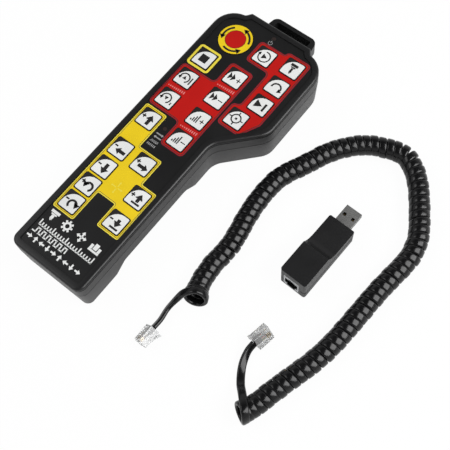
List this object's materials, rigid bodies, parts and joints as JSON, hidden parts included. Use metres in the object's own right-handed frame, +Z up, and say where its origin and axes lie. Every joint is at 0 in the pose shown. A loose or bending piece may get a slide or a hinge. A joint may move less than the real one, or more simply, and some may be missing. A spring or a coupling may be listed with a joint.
{
  "type": "keypad pendant",
  "caption": "Hand-held membrane-key pendant for a machine control, with hanging loop, coiled handset cord with clear modular plugs, and a USB line adapter.",
  "frame": {"origin": "middle of the pendant's base, on the surface it lies on", "axes": "+Z up out of the keypad, +Y along the handle towards the hanging loop, +X towards the flared side of the head, where the cord and adapter lie"},
  "size_m": [0.211, 0.24, 0.0328],
  "materials": {
    "housing": "satin moulded black, fine spark-eroded texture",
    "overlay_film": "printed polyester film, satin, black with red and yellow fields",
    "key_white": "printed white key face, satin",
    "key_red": "printed red disc in a yellow ring, satin",
    "circuit_board": "green solder mask",
    "component_black": "moulded epoxy",
    "led_lens": "diffuse lens",
    "jack_grey": "moulded light grey",
    "contact_gold": "gold plated",
    "screw_steel": "zinc plated",
    "plated_steel": "nickel plated sheet",
    "adapter_plastic": "satin moulded black",
    "usb_black": "moulded black",
    "cord_jacket": "glossy black jacket",
    "clear_plug": "clear moulded polycarbonate"
  },
  "bodies": {
    "housing": {"back_shell": "housing", "top_cover": "housing", "graphic_overlay": "overlay_film", "main_board": "circuit_board", "key_switches": "component_black", "controller_chip": "component_black", "power_led": "led_lens", "link_led": "led_lens", "handset_jack": "jack_grey", "handset_jack_contacts": "contact_gold", "case_screws": "screw_steel", "board_screws": "screw_steel", "adapter_base": "adapter_plastic", "adapter_cover": "adapter_plastic", "adapter_board": "circuit_board", "adapter_chip": "component_black", "adapter_jack": "jack_grey", "adapter_jack_contacts": "contact_gold", "usb_shell": "plated_steel", "usb_tongue": "usb_black", "usb_contacts": "contact_gold", "coiled_cord": "cord_jacket", "cord_tail_a": "cord_jacket", "cord_tail_b": "cord_jacket", "plug_a": "clear_plug", "plug_a_contacts": "contact_gold", "plug_b": "clear_plug", "plug_b_contacts": "contact_gold"},
    "stop_key": {"stop_key": "key_white"},
    "speed_up_key": {"speed_up_key": "key_white"},
    "speed_down_key": {"speed_down_key": "key_white"},
    "y_plus_key": {"y_plus_key": "key_white"},
    "feed_plus_key": {"feed_plus_key": "key_white"},
    "feed_minus_key": {"feed_minus_key": "key_white"},
    "jog_plus_key": {"jog_plus_key": "key_white"},
    "jog_minus_key": {"jog_minus_key": "key_white"},
    "cycle_start_key": {"cycle_start_key": "key_white"},
    "spindle_key": {"spindle_key": "key_white"},
    "redo_key": {"redo_key": "key_white"},
    "single_step_key": {"single_step_key": "key_white"},
    "origin_key": {"origin_key": "key_white"},
    "x_minus_key": {"x_minus_key": "key_white"},
    "y_minus_key": {"y_minus_key": "key_white"},
    "a_plus_key": {"a_plus_key": "key_white"},
    "a_minus_key": {"a_minus_key": "key_white"},
    "x_plus_key": {"x_plus_key": "key_white"},
    "z_plus_key": {"z_plus_key": "key_white"},
    "z_minus_key": {"z_minus_key": "key_white"},
    "emergency_key": {"emergency_key": "key_red"}
  },
  "joints": [
    {"name": "stop_press", "type": "slide", "parent": "housing", "child": "stop_key", "axis": [0, 0, 1], "range_m": [-0.00035, 0], "stiffness_N_per_m": 400},
    {"name": "speed_up_press", "type": "slide", "parent": "housing", "child": "speed_up_key", "axis": [0, 0, 1], "range_m": [-0.00035, 0], "stiffness_N_per_m": 400},
    {"name": "speed_down_press", "type": "slide", "parent": "housing", "child": "speed_down_key", "axis": [0, 0, 1], "range_m": [-0.00035, 0], "stiffness_N_per_m": 400},
    {"name": "y_plus_press", "type": "slide", "parent": "housing", "child": "y_plus_key", "axis": [0, 0, 1], "range_m": [-0.00035, 0], "stiffness_N_per_m": 400},
    {"name": "feed_plus_press", "type": "slide", "parent": "housing", "child": "feed_plus_key", "axis": [0, 0, 1], "range_m": [-0.00035, 0], "stiffness_N_per_m": 400},
    {"name": "feed_minus_press", "type": "slide", "parent": "housing", "child": "feed_minus_key", "axis": [0, 0, 1], "range_m": [-0.00035, 0], "stiffness_N_per_m": 400},
    {"name": "jog_plus_press", "type": "slide", "parent": "housing", "child": "jog_plus_key", "axis": [0, 0, 1], "range_m": [-0.00035, 0], "stiffness_N_per_m": 400},
    {"name": "jog_minus_press", "type": "slide", "parent": "housing", "child": "jog_minus_key", "axis": [0, 0, 1], "range_m": [-0.00035, 0], "stiffness_N_per_m": 400},
    {"name": "cycle_start_press", "type": "slide", "parent": "housing", "child": "cycle_start_key", "axis": [0, 0, 1], "range_m": [-0.00035, 0], "stiffness_N_per_m": 400},
    {"name": "spindle_press", "type": "slide", "parent": "housing", "child": "spindle_key", "axis": [0, 0, 1], "range_m": [-0.00035, 0], "stiffness_N_per_m": 400},
    {"name": "redo_press", "type": "slide", "parent": "housing", "child": "redo_key", "axis": [0, 0, 1], "range_m": [-0.00035, 0], "stiffness_N_per_m": 400},
    {"name": "single_step_press", "type": "slide", "parent": "housing", "child": "single_step_key", "axis": [0, 0, 1], "range_m": [-0.00035, 0], "stiffness_N_per_m": 400},
    {"name": "origin_press", "type": "slide", "parent": "housing", "child": "origin_key", "axis": [0, 0, 1], "range_m": [-0.00035, 0], "stiffness_N_per_m": 400},
    {"name": "x_minus_press", "type": "slide", "parent": "housing", "child": "x_minus_key", "axis": [0, 0, 1], "range_m": [-0.00035, 0], "stiffness_N_per_m": 400},
    {"name": "y_minus_press", "type": "slide", "parent": "housing", "child": "y_minus_key", "axis": [0, 0, 1], "range_m": [-0.00035, 0], "stiffness_N_per_m": 400},
    {"name": "a_plus_press", "type": "slide", "parent": "housing", "child": "a_plus_key", "axis": [0, 0, 1], "range_m": [-0.00035, 0], "stiffness_N_per_m": 400},
    {"name": "a_minus_press", "type": "slide", "parent": "housing", "child": "a_minus_key", "axis": [0, 0, 1], "range_m": [-0.00035, 0], "stiffness_N_per_m": 400},
    {"name": "x_plus_press", "type": "slide", "parent": "housing", "child": "x_plus_key", "axis": [0, 0, 1], "range_m": [-0.00035, 0], "stiffness_N_per_m": 400},
    {"name": "z_plus_press", "type": "slide", "parent": "housing", "child": "z_plus_key", "axis": [0, 0, 1], "range_m": [-0.00035, 0], "stiffness_N_per_m": 400},
    {"name": "z_minus_press", "type": "slide", "parent": "housing", "child": "z_minus_key", "axis": [0, 0, 1], "range_m": [-0.00035, 0], "stiffness_N_per_m": 400},
    {"name": "emergency_press", "type": "slide", "parent": "housing", "child": "emergency_key", "axis": [0, 0, 1], "range_m": [-0.00035, 0], "stiffness_N_per_m": 400}
  ]
}
